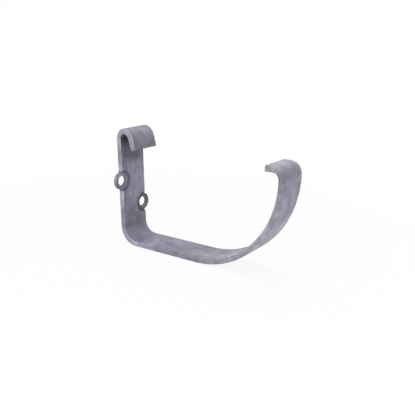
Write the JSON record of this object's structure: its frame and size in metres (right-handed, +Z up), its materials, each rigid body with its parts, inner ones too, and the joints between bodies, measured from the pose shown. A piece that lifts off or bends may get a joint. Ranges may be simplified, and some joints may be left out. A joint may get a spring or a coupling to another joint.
{
  "type": "gutter bracket",
  "caption": "Flat-bar fascia bracket for an eaves gutter: a straight back leg with side screw ears and a rolled hook on top, a flat bottom, and a quarter-round front ending in an inturned nose.",
  "frame": {"origin": "on the fascia face of the back leg, on the bar's centre line, midway between the two screw holes", "axes": "+X runs out from the fascia, under the gutter towards its front; +Y runs along the fascia, across the bar; +Z is up"},
  "size_m": [0.144, 0.0366, 0.0925],
  "materials": {
    "zinc": "matt hot-dip galvanised"
  },
  "bodies": {
    "root": {"bracket": "zinc"}
  },
  "joints": []
}
